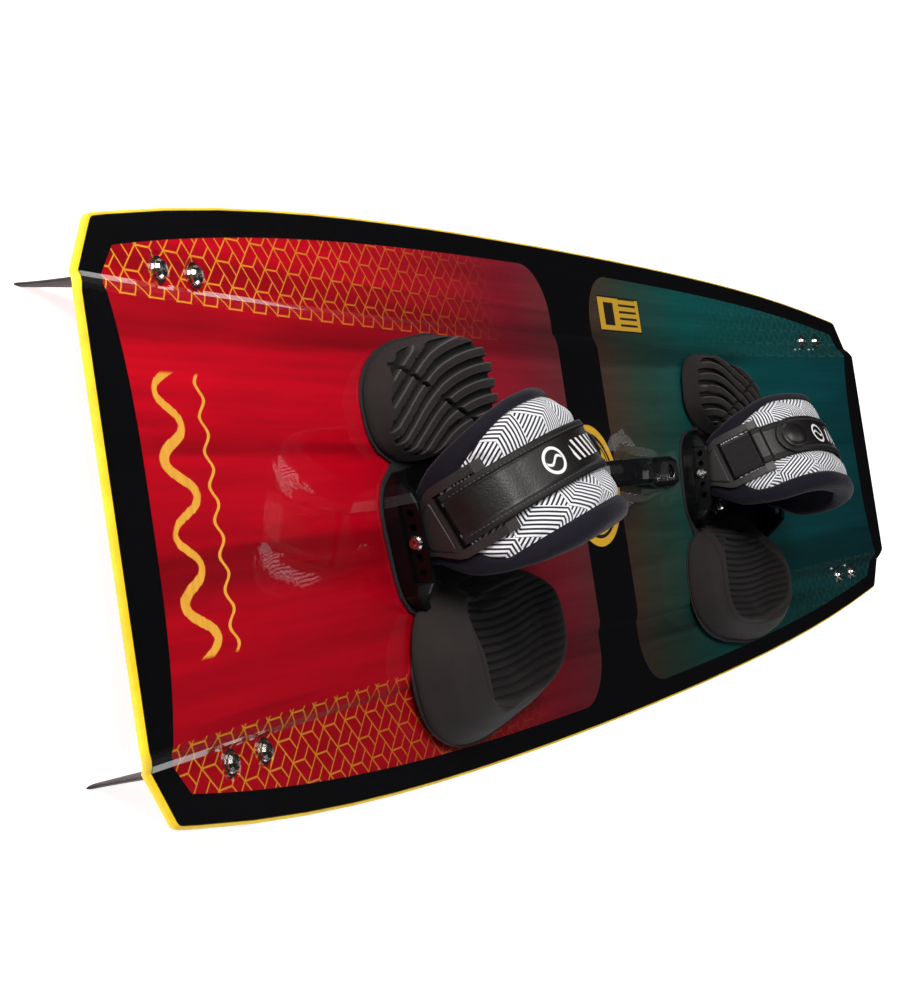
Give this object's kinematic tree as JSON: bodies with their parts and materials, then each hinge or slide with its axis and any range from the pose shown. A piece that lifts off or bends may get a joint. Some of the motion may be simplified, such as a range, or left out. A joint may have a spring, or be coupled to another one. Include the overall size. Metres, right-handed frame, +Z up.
{
  "type": "kiteboard",
  "caption": "Twin-tip kiteboard with a glossy printed deck, yellow edge rail, swept fins, a central grab handle and adjustable footstrap bindings.",
  "frame": {"origin": "on the floor plane, under the middle of the board's length and width", "axes": "+X along the board to its right tip, +Y across the board to the toe-side edge, +Z up out of the deck"},
  "size_m": [1.38, 0.405, 0.1557],
  "materials": {
    "core_wood": "laminated strips",
    "rail_abs": "yellow moulded edge",
    "deck_print": "printed sheet under clear gloss resin",
    "base_print": "gloss black",
    "fin_plastic": "fine moulded satin",
    "stainless": "polished stainless",
    "black_steel": "black oxide",
    "brass_insert": "machined",
    "handle_plastic": "gloss black",
    "gasket_rubber": "thin rubber lip",
    "chassis_plastic": "gloss black",
    "eva_foam": "fine grained closed-cell foam",
    "strap_neoprene": "neoprene with printed cover",
    "tab_plastic": "satin moulding",
    "band_leatherette": "stitched synthetic leather"
  },
  "bodies": {
    "board": {"board_core": "core_wood", "edge_rail": "rail_abs", "deck_laminate": "deck_print", "base_laminate": "base_print", "fin_left_toe": "fin_plastic", "fin_left_heel": "fin_plastic", "fin_right_toe": "fin_plastic", "fin_right_heel": "fin_plastic", "fin_screw_left_toe_1": "stainless", "fin_screw_left_toe_2": "stainless", "fin_screw_left_heel_1": "stainless", "fin_screw_left_heel_2": "stainless", "fin_screw_right_toe_1": "stainless", "fin_screw_right_toe_2": "stainless", "fin_screw_right_heel_1": "stainless", "fin_screw_right_heel_2": "stainless", "fin_washer_left_toe_1": "stainless", "fin_washer_left_toe_2": "stainless", "fin_washer_left_heel_1": "stainless", "fin_washer_left_heel_2": "stainless", "fin_washer_right_toe_1": "stainless", "fin_washer_right_toe_2": "stainless", "fin_washer_right_heel_1": "stainless", "fin_washer_right_heel_2": "stainless", "handle_grip": "handle_plastic", "handle_screw_left": "black_steel", "handle_screw_right": "black_steel", "handle_insert_left": "brass_insert", "handle_insert_right": "brass_insert", "pad_insert_left": "brass_insert", "pad_insert_right": "brass_insert", "clamp_plate_left": "stainless", "clamp_plate_right": "stainless", "pad_screw_left_1": "stainless", "pad_screw_left_2": "stainless", "pad_screw_right_1": "stainless", "pad_screw_right_2": "stainless"},
    "binding_left": {"sole_left": "gasket_rubber", "chassis_left": "chassis_plastic", "toe_bed_left": "eva_foam", "heel_bed_left": "eva_foam"},
    "strap_left": {"strap_pad_left": "strap_neoprene", "tab_outer_left": "tab_plastic", "tab_inner_left": "tab_plastic", "tab_screw_outer_left": "stainless", "tab_screw_inner_left": "stainless", "band_left": "band_leatherette"},
    "flap_left": {"flap_left": "band_leatherette"},
    "binding_right": {"sole_right": "gasket_rubber", "chassis_right": "chassis_plastic", "toe_bed_right": "eva_foam", "heel_bed_right": "eva_foam"},
    "strap_right": {"strap_pad_right": "strap_neoprene", "tab_outer_right": "tab_plastic", "tab_inner_right": "tab_plastic", "tab_screw_outer_right": "stainless", "tab_screw_inner_right": "stainless", "band_right": "band_leatherette"},
    "flap_right": {"flap_right": "band_leatherette"}
  },
  "joints": [
    {"name": "stance_left", "type": "hinge", "parent": "board", "child": "binding_left", "pos_m": [-0.28418, -0.01809, 0.03144], "axis": [0.0504, 0, 0.9987], "range_deg": [-8, 8]},
    {"name": "strap_pivot_left", "type": "hinge", "parent": "binding_left", "child": "strap_left", "pos_m": [-0.28317, -0.01809, 0.05142], "axis": [0.9877, 0.148, -0.0499], "range_deg": [-7, 20]},
    {"name": "flap_peel_left", "type": "hinge", "parent": "strap_left", "child": "flap_left", "pos_m": [-0.36411, -0.02109, 0.07951], "axis": [0.156, -0.9233, 0.3509], "range_deg": [0, 80]},
    {"name": "stance_right", "type": "hinge", "parent": "board", "child": "binding_right", "pos_m": [0.28418, -0.01809, 0.03144], "axis": [-0.0504, 0, 0.9987], "range_deg": [-8, 8]},
    {"name": "strap_pivot_right", "type": "hinge", "parent": "binding_right", "child": "strap_right", "pos_m": [0.28317, -0.01809, 0.05142], "axis": [0.9877, -0.148, 0.0499], "range_deg": [-7, 20]},
    {"name": "flap_peel_right", "type": "hinge", "parent": "strap_right", "child": "flap_right", "pos_m": [0.36411, -0.02109, 0.07951], "axis": [0.156, 0.9233, -0.3509], "range_deg": [0, 80]}
  ]
}
